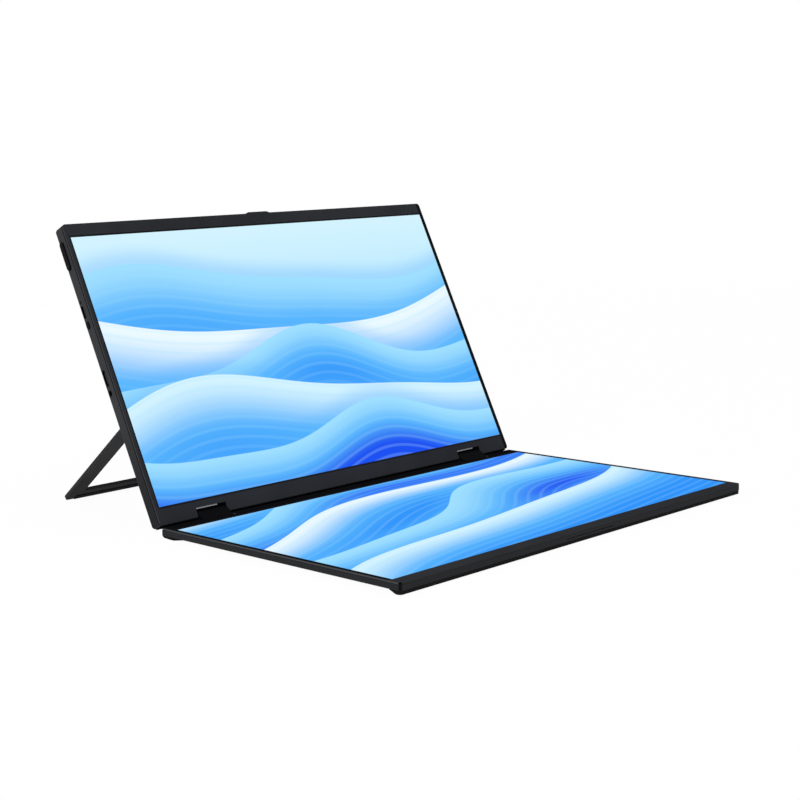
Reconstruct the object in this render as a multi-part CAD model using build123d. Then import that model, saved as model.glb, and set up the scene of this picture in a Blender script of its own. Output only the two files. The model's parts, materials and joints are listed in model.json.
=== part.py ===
from build123d import *
import os
from math import cos, radians, sin

# A folding portable monitor with two equal screens. The lower one lies flat, the upper one
# leans back on a splayed U stand, and two link blocks fold them shut face to face.
# Each screen is drawn in its own frame: x across, u from the hinge side of the lit area to
# the far edge, z out of the glass. Millimetres, and the object stands with +Z up.

# Screen face
active_width = 344.16
active_height = 193.59
cell_border = 1.2
cell_gap = 0.15
side_bezel = 3.82
far_bezel = 9.9
hinge_bezel = 12.4
corner_radius = 2.5
lower_hinge_corner = 1.0
bezel_lip = 0.3
bezel_skin = 1.0
bezel_chamfer = 0.35

# Layers behind the glass
cell_thickness = 1.2
guide_thickness = 2.4
tray_thickness = 0.3
led_width = 2.0
led_height = 2.0
led_count = 16

# Back covers
wall = 1.2
lower_floor = 1.0
upper_floor = 1.0
upper_depth = 10.4
lower_back_radius = 0.6
upper_back_radius = 2.0
seam = 0.6
post_radius = 2.5
post_x = 40.0
post_near = 45.0
post_from_far = 53.5

# Folding hinge
opening_angle = 115.717
notch_from_side = 45.25
notch_width = 26.7
notch_depth = 6.7
notch_wall = 1.2
axis_inset = 2.0
lower_axis_depth = 2.4
upper_axis_depth = 3.2
closed_gap = 2.2
link_radius = 3.3
link_end_gap = 0.4
link_edge = 0.4
hinge_pin_radius = 0.9
hinge_pin_gap = 0.05
press_gap = 0.02
wall_hole_gap = 0.2
bracket_skin = 1.4
bracket_foot_skin = 0.8
bracket_reach = 8.5
bracket_edge_wall = 0.5
bracket_lug_drop = 1.7
trim_skin = 0.9
trim_depth = 2.2
trim_drop = 0.15
trim_share = 0.7
trim_edge = 0.12

# Screws and bosses
boss_radius = 1.9
boss_margin = 2.0
boss_from_side = 9.9
shank_radius = 0.8
head_radius = 1.6
head_height = 0.5
hole_gap = 0.1
floor_bite = 0.7
drive_width = 0.4
drive_depth = 0.3

# Feet under the lower screen
foot_height = 2.25
front_foot_width = 9.2
front_foot_base = 3.8
foot_inset = 0.3
rear_foot_width = 21.5
rear_foot_lip = 1.7
rear_foot_rise = 6.0
rear_foot_base = 3.6
rear_foot_taper = 1.6
rear_foot_gap = 2.0

# Stand
stand_angle = 35.0
stand_thickness = 2.5
stand_axis_in = 1.8
stand_margin = 3.8
pivot_from_side = 14.9
stand_splay = 14.0
arm_width = 12.5
bar_width = 11.6
stand_corner = 4.0
stand_foot_width = 5.0
stand_foot_proud = 0.4
stand_foot_sunk = 0.6
stand_foot_end = 8.0
stand_pin_radius = 0.9
stand_pin_reach = 2.0
pivot_wall = 2.4
heel_room = 2.4
recess_gap = 0.35
recess_depth_gap = 0.4
recess_skin = 0.9
pocket_gap = 0.5
scoop_half = 16.0
scoop_length = 11.0
scoop_depth = 2.0

# Sockets, light and keys on the upper screen's left side, counted up from the stand's pivot
port_rise = 2.15
key_rise = 2.65
port_gap = 0.25
mouth_recess = 0.3
shell_skin = 0.3
shell_back = 0.6
usb_from_button = 9.6
usb_width = 8.94
usb_height = 3.16
usb_length = 7.5
usb_tongue = 6.6
hdmi_from_jack = 10.65
hdmi_width = 11.4
hdmi_height = 3.3
hdmi_length = 8.0
hdmi_cut = 0.9
hdmi_tongue = 8.2
tongue_skin = 0.7
jack_from_pivot = 15.3
jack_width = 6.0
jack_height = 3.6
jack_length = 9.5
jack_bore = 1.75
jack_nose = 2.1
light_from_usb = 7.15
light_radius = 1.0
light_length = 4.6
light_block = 2.0
button_from_hdmi = 38.25
button_length = 5.0
button_width = 3.3
button_proud = 0.7
button_gap = 0.2
button_flange = 0.6
button_flange_skin = 0.8
button_travel = 0.5
switch_slack = 0.1
switch_length = 3.4
switch_plunger = 0.6
switch_size = 2.2
rocker_from_far = 20.7
rocker_length = 20.2
rocker_width = 4.2
rocker_proud = 1.0
rocker_sunk = 1.4
rocker_gap = 0.35
rocker_swing = 2.5
rocker_pin_radius = 0.75
rocker_axis_in = 3.3
rocker_stem = 4.0
rocker_stem_height = 2.3
rocker_ear = 0.8
rocker_ear_gap = 0.2
rocker_back_in = 5.7
rocker_switch_at = 6.5

# Boards, speakers and cables
board_skin = 0.6
board_over_port = 1.2
board_width = 94.0
board_margin = 5.0
board_rocker_gap = 1.0
boss_in = 9.9
far_boss_in = 72.4
board_edge_gap = 0.7
board_cut_gap = 0.25
chip_height = 1.2
large_chip = 14.0
large_chip_in = 57.9
small_chip = 9.0
small_chip_in = 78.9
small_chip_step = 16.0
driver_skin = 0.8
driver_margin = 0.5
ribbon_skin = 0.2
ribbon_width = 40.0
ribbon_x = 28.0
ribbon_lap = 3.0
link_ribbon_in = 86.9
link_ribbon_width = 12.0
speaker_x = 80.0
speaker_length = 40.0
speaker_width = 12.0
speaker_height = 2.8
speaker_u = 10.0
grille_count = 9
grille_width = 1.4

# Closing lip and finger groove
tab_half = 12.0
tab_top_half = 9.0
tab_proud = 1.2
tab_depth = 3.2
tab_drop = 0.3
tab_gap = 0.1
groove_half = 24.5
groove_height = 0.6
groove_depth = 0.6
groove_drop = 2.75

# Cutters run this far past the faces they open
over = 1.0

# Levels and edges worked out from the sizes above
half_width = active_width / 2 + side_bezel
left = -half_width
notch_centre = half_width - notch_from_side
pivot_half = half_width - pivot_from_side
far_edge = active_height + far_bezel
hinge_edge = -hinge_bezel
cell_half = active_width / 2 + cell_border
cell_far = active_height + cell_border
bezel_under = bezel_lip - bezel_skin
stack = cell_thickness + guide_thickness + tray_thickness
lower_depth = stack + lower_floor
lower_floor_top = -stack
upper_floor_top = upper_floor - upper_depth
glass_height = lower_depth + foot_height
axis_u = hinge_edge + axis_inset
notch_u = hinge_edge + notch_depth
strip_mid = (hinge_edge + wall - cell_border) / 2
port_level = upper_floor_top + port_rise
key_level = upper_floor_top + key_rise
rocker_u = far_edge - rocker_from_far
rocker_reach = rocker_switch_at + switch_size
board_under = port_level + board_over_port
board_top = board_under + board_skin
board_left = left + wall + board_edge_gap
board_right = board_left + board_width
inner_boss_x = notch_centre - notch_width / 2 - notch_wall - bracket_reach - boss_radius - boss_margin
outer_boss_x = half_width - boss_from_side
far_boss_u = far_edge - wall - boss_radius - boss_margin / 4
case_bosses = [(side * x, strip_mid) for side in (-1, 1) for x in (inner_boss_x, outer_boss_x)]
case_bosses += [(side * outer_boss_x, far_boss_u) for side in (-1, 1)]

# The fold: link blocks turn half the opening angle on the lower pins, and the upper screen
# turns the other half on the upper pins.
fold = radians(opening_angle / 2)
tilt = 180.0 - opening_angle
up_y, up_z = cos(radians(tilt)), sin(radians(tilt))
pitch = lower_axis_depth + upper_axis_depth + closed_gap
upper_axis_y = -axis_u + pitch * sin(fold)
upper_axis_z = -lower_axis_depth + pitch * cos(fold)
upper_y = upper_axis_y - axis_u * up_y - upper_axis_depth * up_z
upper_z = upper_axis_z - axis_u * up_z + upper_axis_depth * up_y

# The stand: its pivot lies where the closed frame ends just inside the top edge and the open
# frame meets the table at the stand angle.
lean = radians(stand_angle)
stand_axis_n = stand_axis_in - upper_depth
pivot_base = glass_height + upper_z + stand_axis_n * up_y - (stand_axis_in + stand_foot_proud) * cos(lean)
pivot_u = (far_edge - stand_margin - pivot_base / sin(lean)) / (1 + up_z / sin(lean))
stand_length = far_edge - stand_margin - pivot_u
stand_swing = tilt + stand_angle
pivot_y = upper_y + pivot_u * up_y - stand_axis_n * up_z
stand_back = pivot_y + stand_length * cos(lean) + (stand_thickness - stand_axis_in) * sin(lean)

# Places up the side of the upper screen, and the main board between the pivot and the rocker
jack_u = pivot_u + jack_from_pivot
hdmi_u = jack_u + hdmi_from_jack
button_u = hdmi_u + button_from_hdmi
usb_u = button_u + usb_from_button
light_u = usb_u + light_from_usb
board_near = jack_u - jack_width / 2 - board_margin
board_far = rocker_u - rocker_reach - board_rocker_gap
board_bosses = [
    (left + boss_in, (hdmi_u + button_u) / 2),
    (left + boss_in, board_far - board_margin),
    (left + far_boss_in, board_near + board_margin),
    (left + far_boss_in, board_far - board_margin),
]

LOWER = Location((0, (far_edge - stand_back) / 2, glass_height))
UPPER = LOWER * Location((0, upper_y, upper_z), (tilt, 0, 0))
LINK = LOWER * Location((0, -axis_u, -lower_axis_depth), (-opening_angle / 2, 0, 0))
STAND = UPPER * Location((0, pivot_u, stand_axis_n), (-stand_swing, 0, 0))


def block(x0, x1, u0, u1, z0, z1):
    """Box between two corners."""
    middle = Pos((x0 + x1) / 2, (u0 + u1) / 2, (z0 + z1) / 2)
    return middle * Box(abs(x1 - x0), abs(u1 - u0), abs(z1 - z0))


def peg(x, u, z0, z1, radius):
    """Round post along z."""
    return Pos(x, u, (z0 + z1) / 2) * Cylinder(radius, abs(z1 - z0))


def rod(x0, x1, u, z, radius):
    """Round bar along x."""
    return Pos((x0 + x1) / 2, u, z) * Rot(0, 90, 0) * Cylinder(radius, abs(x1 - x0))


def slab(sketch, z0, z1):
    """Plate of a flat outline between two levels."""
    return Pos(0, 0, z0) * extrude(sketch, z1 - z0)


def prism(sketch, x0, x1, u=0.0, z=0.0):
    """Bar along x of a section drawn in u and z."""
    return Pos(x0, u, z) * extrude(Plane.YZ * sketch, x1 - x0)


def polygon(points):
    """Flat face of an outline with straight sides."""
    return make_face(Polyline(*points, close=True))


def outline(hinge_corner, grow=0.0):
    """Outer outline of a screen, moved out by grow, with its own radius at the hinge side's corners."""
    plan = Rectangle(2 * (half_width + grow), far_edge - hinge_edge + 2 * grow)
    for end, radius in ((-1, corner_radius), (0, hinge_corner)):
        plan = fillet(plan.vertices().group_by(Axis.Y)[end], max(radius + grow, press_gap * 10))
    return Pos(0, (far_edge + hinge_edge) / 2) * plan


def notches(grow=0.0):
    """Plan of the two hinge notches in the hinge side, widened by grow."""
    half = notch_width / 2 + grow
    return [
        block(side * notch_centre - half, side * notch_centre + half, hinge_edge - over, notch_u + grow,
              -upper_depth - over, bezel_lip + over)
        for side in (-1, 1)
    ]


def screw(x, u, seat, tip):
    """Flat-headed screw with a cross recess: the head's underside at seat, the point at tip."""
    way = 1 if seat > tip else -1
    crown = seat + way * head_height
    body = peg(x, u, seat, crown, head_radius) + peg(x, u, seat, tip, shank_radius)
    reach = head_radius * 0.6
    for half_x, half_u in ((reach, drive_width / 2), (drive_width / 2, reach)):
        body -= block(x - half_x, x + half_x, u - half_u, u + half_u, crown - way * drive_depth, crown)
    return body


def case_seat(back):
    """Level of a case screw's seat, sunk so that its head lies just inside the back."""
    return back + head_height + press_gap


def front_bezel(floor_top, hinge_corner):
    """Frame round the glass, with the bosses that the case screws go into."""
    frame = slab(outline(hinge_corner), bezel_under, bezel_lip)
    frame = chamfer(frame.faces().sort_by(Axis.Z)[-1].edges(), bezel_chamfer)
    hole = cell_half + cell_gap
    frame -= block(-hole, hole, -cell_border - cell_gap, cell_far + cell_gap,
                   bezel_under - over, bezel_lip + over)
    for notch in notches():
        frame -= notch
    for x, u in case_bosses:
        frame += peg(x, u, floor_top, bezel_under + bezel_skin / 2, boss_radius)
        frame -= peg(x, u, floor_top - over, bezel_under, shank_radius + press_gap)
    return frame


def lug_low(axis_z, floor_top):
    """Lower face of the lug that a hinge angle has round its pin."""
    return max(floor_top, axis_z - bracket_lug_drop)


def back_shell(depth, floor_top, axis_z, back_radius, hinge_corner):
    """Open shell with the hinge notches walled off, and holes for pins and screws."""
    floor = depth + floor_top
    shell = slab(outline(hinge_corner), -depth, bezel_under)
    shell = fillet(shell.faces().sort_by(Axis.Z)[0].edges(), back_radius)
    shell -= slab(outline(hinge_corner, -wall), floor_top, bezel_under + over)
    rim = outline(hinge_corner, over) - outline(hinge_corner, -seam)
    shell -= slab(rim, bezel_under - seam, bezel_under + over)
    half = notch_width / 2 + notch_wall
    for side in (-1, 1):
        shell += block(side * notch_centre - half, side * notch_centre + half, hinge_edge + wall * 0.8,
                       notch_u + notch_wall, floor_top - floor / 2, bezel_under)
        for end in (-1, 1):
            face = side * notch_centre + end * half
            shell -= block(face, face + end * (bracket_skin + hole_gap), hinge_edge + bracket_edge_wall,
                           hinge_edge + wall + over, lug_low(axis_z, floor_top), bezel_under - seam)
            shell -= peg(face + end * bracket_reach * 0.6, strip_mid,
                         floor_top - floor_bite, floor_top + over, shank_radius + press_gap)
        reach = half + hole_gap
        shell -= rod(side * notch_centre - reach, side * notch_centre + reach, axis_u, axis_z,
                     hinge_pin_radius + wall_hole_gap)
    for notch in notches():
        shell -= notch
    for x, u in case_bosses:
        shell -= peg(x, u, -depth - over, floor_top + over, shank_radius + hole_gap)
        shell -= peg(x, u, -depth - over, case_seat(-depth), head_radius + hole_gap)
    return shell


def screen_panel():
    """Glass cell with its dark border."""
    return block(-cell_half, cell_half, -cell_border, cell_far, -cell_thickness, 0)


def light_guide():
    """Clear plate that spreads the light of the LED bar."""
    half = active_width / 2
    return block(-half, half, 0, active_height, -cell_thickness - guide_thickness, -cell_thickness)


def backlight_tray():
    """Thin steel plate under the light guide and the LED bar."""
    half = active_width / 2
    return block(-half, half, 0, active_height + led_width + press_gap, -stack, -stack + tray_thickness)


def led_bar():
    """Strip along the far edge of the light guide, with its lamps facing the guide."""
    half = active_width / 2 - wall
    base = -stack + tray_thickness
    lens = led_width / 2
    strip = block(-half, half, active_height + lens, active_height + led_width, base, base + led_height)
    step = 2 * half / led_count
    for k in range(led_count):
        x = -half + (k + 0.5) * step
        strip += block(x - step / 6, x + step / 6, active_height + press_gap,
                       active_height + led_width - lens / 2, base, base + led_height * 0.8)
    return strip


def driver_board(floor_top):
    """Long circuit board on the floor between the hinge notches."""
    half = inner_boss_x - boss_radius - boss_margin
    top = floor_top + driver_skin
    board = block(-half, half, hinge_edge + wall + driver_margin, -cell_border - 2 * driver_margin,
                  floor_top, top)
    chip = driver_margin * 10
    for x in (-half * 0.75, 0.0, half * 0.75):
        board += block(x - chip, x + chip, strip_mid - chip_height, strip_mid + chip_height,
                       top - press_gap, top + chip_height / 2)
    return board


def ribbon_cables(floor_top):
    """Two flat cables from the underside of the glass cell's border to the driver board."""
    top = floor_top + driver_skin
    start = -cell_thickness
    drop = -cell_border - ribbon_skin
    points = [
        (drop + cell_border, start),
        (drop, start),
        (drop, top + ribbon_skin),
        (drop - ribbon_lap, top + ribbon_skin),
        (drop - ribbon_lap, top),
        (drop + ribbon_skin, top),
        (drop + ribbon_skin, start - ribbon_skin),
        (drop + cell_border, start - ribbon_skin),
    ]
    half = ribbon_width / 2
    section = polygon(points)
    return Compound([prism(section, side * ribbon_x - half, side * ribbon_x + half) for side in (-1, 1)])


def hinge_brackets(axis_z, floor_top):
    """Steel angles beside each notch, which hold the ends of a hinge pin."""
    angles = []
    half = notch_width / 2 + notch_wall
    inside = hinge_edge + wall + hole_gap
    behind = -cell_border - hole_gap
    top = bezel_under - hole_gap
    for side in (-1, 1):
        for end in (-1, 1):
            face = side * notch_centre + end * half
            angle = block(face, face + end * bracket_skin, inside, behind, floor_top, top)
            angle += block(face, face + end * bracket_skin, hinge_edge + bracket_edge_wall + hole_gap, inside,
                           lug_low(axis_z, floor_top), top - seam)
            angle += block(face, face + end * bracket_reach, inside, behind, floor_top,
                           floor_top + bracket_foot_skin)
            angle -= rod(face - over * end, face + end * bracket_reach, axis_u, axis_z,
                         hinge_pin_radius + press_gap)
            angle -= peg(face + end * bracket_reach * 0.6, strip_mid, floor_top - over, top,
                         shank_radius + hole_gap)
            angles.append(angle)
    return Compound(angles)


def bracket_screws(floor_top):
    """Screws that hold the hinge angles to the floor."""
    reach = notch_width / 2 + notch_wall + bracket_reach * 0.6
    seat = floor_top + bracket_foot_skin
    return Compound([
        screw(side * notch_centre + end * reach, strip_mid, seat, floor_top - floor_bite)
        for side in (-1, 1) for end in (-1, 1)
    ])


def hinge_pins(axis_z):
    """One pin through each link block, from angle to angle."""
    half = notch_width / 2 + notch_wall + bracket_skin
    return Compound([
        rod(side * notch_centre - half, side * notch_centre + half, axis_u, axis_z, hinge_pin_radius)
        for side in (-1, 1)
    ])


def case_screws(depth):
    """Screws from the back into the bezel's bosses."""
    return Compound([screw(x, u, case_seat(-depth), bezel_under) for x, u in case_bosses])


def hinge_link(side):
    """Block with two pin bores, in a frame with its lower pin at the origin."""
    half = notch_width / 2 - link_end_gap
    section = Pos(0, pitch / 2) * Rot(0, 0, 90) * SlotCenterToCenter(pitch, 2 * link_radius)
    body = prism(section, -half, half)
    ends = body.faces().filter_by(Axis.X).edges()
    body = fillet(ends, link_edge)
    for z in (0, pitch):
        body -= rod(-half - over, half + over, 0, z, hinge_pin_radius + hinge_pin_gap)
    return Pos(side * notch_centre, 0, 0) * body


def front_foot():
    """Rubber strip under the front edge, sloping up towards the back."""
    front = far_edge - foot_inset
    points = [
        (front, -lower_depth),
        (front, -glass_height),
        (front - front_foot_base, -glass_height),
        (front - front_foot_width, -lower_depth),
    ]
    strip = prism(polygon(points), left, half_width)
    return strip & slab(outline(lower_hinge_corner, -foot_inset), -glass_height, -lower_depth)


def rear_foot():
    """Rubber strips under the hinge side, sloping up to the front, between the notches and outside them."""
    rear = hinge_edge + foot_inset
    base = rear + rear_foot_rise
    section = polygon([
        (rear, -lower_depth),
        (rear, -lower_depth - rear_foot_lip),
        (base, -glass_height),
        (base + rear_foot_base, -glass_height),
        (rear + rear_foot_width, -lower_depth),
    ])
    inner = notch_centre - notch_width / 2 - rear_foot_gap
    outer = notch_centre + notch_width / 2 + rear_foot_gap
    end = half_width - foot_inset
    strips = []
    for x0, x1 in ((-end, -outer), (-inner, inner), (outer, end)):
        half = (x1 - x0) / 2
        ends = polygon([
            (-half, -lower_depth),
            (half, -lower_depth),
            (half - rear_foot_taper, -glass_height),
            (rear_foot_taper - half, -glass_height),
        ])
        tapered = Pos((x0 + x1) / 2) * Rot(0, 0, 90) * prism(ends, rear, rear + rear_foot_width)
        strips.append((prism(section, x0, x1) & tapered).solid())
    return Compound(strips)


def lower_cover():
    """Shallow back shell of the lower screen, with the finger groove in its front face."""
    shell = back_shell(lower_depth, lower_floor_top, -lower_axis_depth, lower_back_radius, lower_hinge_corner)
    groove = block(-groove_half, groove_half, far_edge - groove_depth, far_edge + over,
                   -groove_drop - groove_height, -groove_drop)
    return shell - groove


def stand_edge(v):
    """Half width of the stand at a distance from its pivot."""
    return pivot_half - stand_splay * v / stand_length


def stand_plan(grow, heel):
    """U outline of the stand in x and distance from its pivot, moved out by grow."""
    tip = stand_length + grow
    crook = stand_length - bar_width - grow
    right = [
        (stand_edge(tip) + grow, tip),
        (stand_edge(heel) + grow, heel),
        (stand_edge(heel) - arm_width - grow, heel),
        (stand_edge(crook) - arm_width - grow, crook),
    ]
    return polygon(right + [(-x, v) for x, v in reversed(right)])


def stand_plate(grow, heel, z0, z1):
    """Plate of the stand's outline with its outer corners rounded."""
    plate = slab(stand_plan(grow, heel), z0, z1)
    tips = plate.edges().filter_by(Axis.Z).group_by(Axis.Y)[-1]
    return fillet(tips, stand_corner + grow)


def stand_foot():
    """Rubber strip along the end of the stand's bar."""
    half = stand_edge(stand_length) - stand_foot_end
    return block(-half, half, stand_length - stand_foot_width, stand_length,
                 -stand_axis_in - stand_foot_proud, -stand_axis_in + stand_foot_sunk)


def stand_knuckles(radius):
    """Round bars at the pivot end of both arms."""
    return [rod(side * (pivot_half - arm_width), side * pivot_half, 0, 0, radius) for side in (-1, 1)]


def stand_frame():
    """Flat U frame with a knuckle on each arm."""
    frame = stand_plate(0.0, 0.0, -stand_axis_in, stand_thickness - stand_axis_in)
    for knuckle in stand_knuckles(stand_axis_in):
        frame += knuckle
    for side in (-1, 1):
        frame -= rod(side * (pivot_half - arm_width - over), side * (pivot_half + over), 0, 0,
                     stand_pin_radius + press_gap)
    return frame - stand_foot()


def stand_pins():
    """Pins through the knuckles into the upper cover."""
    return Compound([
        rod(side * (pivot_half - arm_width - pocket_gap - stand_pin_reach),
            side * (pivot_half + pocket_gap + stand_pin_reach), 0, 0, stand_pin_radius)
        for side in (-1, 1)
    ])


def add_stand_recess(shell):
    """Sinks the closed stand into the back of a shell, with blocks for its pins."""
    seat = Pos(0, pivot_u, 0)
    roof = -upper_depth + stand_thickness + recess_depth_gap
    pocket_roof = stand_axis_n + stand_axis_in + recess_depth_gap
    root = upper_floor_top - upper_floor / 2
    room = heel_room + recess_skin
    shell += seat * slab(stand_plan(recess_gap + recess_skin, -room), root, roof + recess_skin)
    inner = pivot_half - arm_width - pocket_gap
    outer = pivot_half + pocket_gap
    reach = stand_pin_reach + hole_gap
    for side in (-1, 1):
        shell += block(side * (inner - pivot_wall), side * (outer + pivot_wall), pivot_u - room, pivot_u + room,
                       root, pocket_roof + recess_skin)
        shell -= block(side * inner, side * outer, pivot_u - heel_room, pivot_u + heel_room,
                       -upper_depth - over, pocket_roof)
        shell -= rod(side * (inner - reach), side * (outer + reach), pivot_u, stand_axis_n,
                     stand_pin_radius + hinge_pin_gap)
    shell -= seat * stand_plate(recess_gap, -heel_room, -upper_depth - over, roof)
    crook = pivot_u + stand_length - bar_width
    radius = (scoop_half ** 2 + scoop_depth ** 2) / (2 * scoop_depth)
    scoop = Cylinder(radius, scoop_length, rotation=(90, 0, 0))
    rim = Pos(0, crook - scoop_length / 2, -upper_depth - radius + scoop_depth) * scoop
    shell += block(-scoop_half, scoop_half, crook - scoop_length - recess_skin, crook - recess_gap, root,
                   -upper_depth + scoop_depth + recess_skin)
    return shell - rim


def usb_section(grow):
    """Round-ended section of the USB-C socket."""
    return SlotOverall(usb_width + 2 * grow, usb_height + 2 * grow)


def hdmi_section(grow):
    """Section of the mini-HDMI socket, narrower towards the back."""
    section = Rectangle(hdmi_width + 2 * grow, hdmi_height + 2 * grow)
    return chamfer(section.vertices().group_by(Axis.Y)[0], hdmi_cut)


def socket(section, u, length, tongue):
    """Steel sleeve with a closed back and a contact tongue, with its mouth just inside the wall."""
    mouth = left + mouth_recess
    end = mouth + length
    sleeve = prism(section(0.0), mouth, end, u, port_level)
    sleeve -= prism(section(-shell_skin), mouth - over, end - shell_back, u, port_level)
    sleeve += block(mouth + 2 * mouth_recess, end - shell_back / 2, u - tongue / 2, u + tongue / 2,
                    port_level - tongue_skin / 2, port_level + tongue_skin / 2)
    return sleeve


def audio_jack():
    """Moulded jack with a round nose in the wall and a bore for a 3.5 mm plug."""
    nose = left + mouth_recess
    body = block(left + wall + hole_gap, left + wall + jack_length,
                 jack_u - jack_width / 2, jack_u + jack_width / 2,
                 port_level - jack_height / 2, port_level + jack_height / 2)
    body += rod(nose, left + wall + over, jack_u, port_level, jack_nose)
    return body - rod(nose - over, left + jack_length, jack_u, port_level, jack_bore)


def status_light():
    """Clear light pipe in the wall, with its lamp under the main board."""
    end = left + light_length
    pipe = rod(left + mouth_recess / 3, end, light_u, port_level, light_radius)
    half = light_block / 2
    return pipe + block(end, end + light_block, light_u - half, light_u + half,
                        port_level - half, board_under)


def power_button():
    """Small push button with a flange behind the wall."""
    flange = left + wall + hole_gap
    key = prism(SlotOverall(button_length, button_width), left - button_proud, flange + button_flange_skin,
                button_u, key_level)
    key += prism(SlotOverall(button_length + 2 * button_flange, button_width + 2 * button_flange), flange,
                 flange + button_flange_skin, button_u, key_level)
    crown = key.faces().sort_by(Axis.X)[0].edges()
    return fillet(crown, button_proud / 3)


def power_switch():
    """Switch under the main board, with its plunger just behind the button."""
    tip = left + wall + hole_gap + button_flange_skin + button_travel + switch_slack
    half = switch_size / 2
    body = block(tip + switch_plunger, tip + switch_plunger + switch_length, button_u - half, button_u + half,
                 key_level - half, board_under)
    return body + rod(tip, tip + switch_plunger + over, button_u, key_level, half / 2)


def menu_rocker():
    """Long key that rocks on a pin behind the wall."""
    skin = left + rocker_sunk
    key = prism(SlotOverall(rocker_length, rocker_width), left - rocker_proud, skin, rocker_u, key_level)
    key = fillet(key.faces().sort_by(Axis.X)[0].edges(), rocker_proud / 2)
    axis_x = left + rocker_axis_in
    key += block(skin - press_gap, axis_x, rocker_u - rocker_stem / 2, rocker_u + rocker_stem / 2,
                 stem_low(), stem_low() + rocker_stem_height)
    key += peg(axis_x, rocker_u, stem_low(), stem_low() + rocker_stem_height, rocker_stem / 2)
    return key - peg(axis_x, rocker_u, stem_low() - over, stem_low() + rocker_stem_height + over,
                     rocker_pin_radius + hinge_pin_gap)


def stem_low():
    """Lower face of the rocker's stem, just above the bracket's lower ear."""
    return upper_floor_top + rocker_ear + rocker_ear_gap


def ears_top():
    """Upper face of the bracket's upper ear."""
    return stem_low() + rocker_stem_height + rocker_ear_gap + rocker_ear


def rocker_bracket():
    """Steel bracket on the floor, with two ears for the rocker's pin and a back for its switches."""
    axis_x = left + rocker_axis_in
    back = left + rocker_back_in
    ear = rocker_stem / 2
    near = rocker_u - rocker_reach
    far = rocker_u + rocker_reach
    body = block(back, back + rocker_ear, near, far, upper_floor_top, ears_top())
    for low in (upper_floor_top, ears_top() - rocker_ear):
        body += block(axis_x - rocker_pin_radius * 1.6, back + rocker_ear, rocker_u - ear, rocker_u + ear,
                      low, low + rocker_ear)
    foot_end = back + rocker_ear + 2 * (head_radius + hole_gap) + rocker_ear
    body += block(back, foot_end, near, far, upper_floor_top, upper_floor_top + rocker_ear)
    body -= peg(axis_x, rocker_u, upper_floor_top - over, ears_top() + over, rocker_pin_radius + press_gap)
    return body - peg(rocker_screw_x(), rocker_u, upper_floor_top - over, upper_floor_top + over * 2,
                      shank_radius + hole_gap)


def rocker_screw_x():
    """Place of the bracket's screw across the screen."""
    return left + rocker_back_in + rocker_ear + head_radius + hole_gap


def rocker_pin():
    """Pin through the bracket's ears and the rocker's stem."""
    return peg(left + rocker_axis_in, rocker_u, upper_floor_top, ears_top(), rocker_pin_radius)


def rocker_switches():
    """Two switches that the ends of the rocker press."""
    back = left + rocker_back_in
    throw = rocker_switch_at * sin(radians(rocker_swing)) + switch_slack
    tip = left + rocker_sunk + throw
    half = switch_size / 2
    switches = []
    for end in (-1, 1):
        u = rocker_u + end * rocker_switch_at
        body = block(tip + switch_plunger, back, u - half, u + half, key_level - half, key_level + half)
        switches.append(body + rod(tip, tip + switch_plunger + over, u, key_level, half / 2))
    return Compound(switches)


def main_board():
    """Circuit board behind the upper screen, cut out round the sockets and the button."""
    board = block(board_left, board_right, board_near, board_far, board_under, board_top)
    fitted = [
        (usb_u, usb_width, mouth_recess + usb_length),
        (hdmi_u, hdmi_width, mouth_recess + hdmi_length),
        (jack_u, jack_width, wall + jack_length),
        (button_u, button_length + 2 * button_flange, wall + hole_gap + button_flange_skin + button_travel),
    ]
    for u, width, end in fitted:
        half = width / 2 + board_cut_gap
        board -= block(left, left + end + board_cut_gap, u - half, u + half,
                       board_under - over, board_top + over)
    for x, u in board_bosses:
        board -= peg(x, u, board_under - over, board_top + over, shank_radius + hole_gap)
    return board


def main_board_chips():
    """Chips on the back of the main board, beside the stand's recess."""
    chips = []
    middle = (board_near + board_far) / 2
    places = [
        (left + large_chip_in, middle, large_chip),
        (left + small_chip_in, middle + small_chip_step, small_chip),
        (left + small_chip_in, middle - small_chip_step, small_chip),
    ]
    for x, u, size in places:
        half = size / 2
        chips.append(block(x - half, x + half, u - half, u + half, board_under - chip_height, board_under))
    return Compound(chips)


def link_cable():
    """Flat cable from the main board to the upper driver board."""
    low = upper_floor_top + driver_skin
    drop = -cell_border - ribbon_skin
    end = board_near + 2 * ribbon_lap
    points = [
        (end, board_under),
        (drop, board_under),
        (drop, low + ribbon_skin),
        (drop - ribbon_lap, low + ribbon_skin),
        (drop - ribbon_lap, low),
        (drop + ribbon_skin, low),
        (drop + ribbon_skin, board_under - ribbon_skin),
        (end, board_under - ribbon_skin),
    ]
    half = link_ribbon_width / 2
    return prism(polygon(points), left + link_ribbon_in - half, left + link_ribbon_in + half)


def speakers():
    """Flat speakers on the floor behind the grilles."""
    half = speaker_length / 2
    return Compound([
        block(side * speaker_x - half, side * speaker_x + half, speaker_u, speaker_u + speaker_width,
              upper_floor_top, upper_floor_top + speaker_height)
        for side in (-1, 1)
    ])


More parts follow.
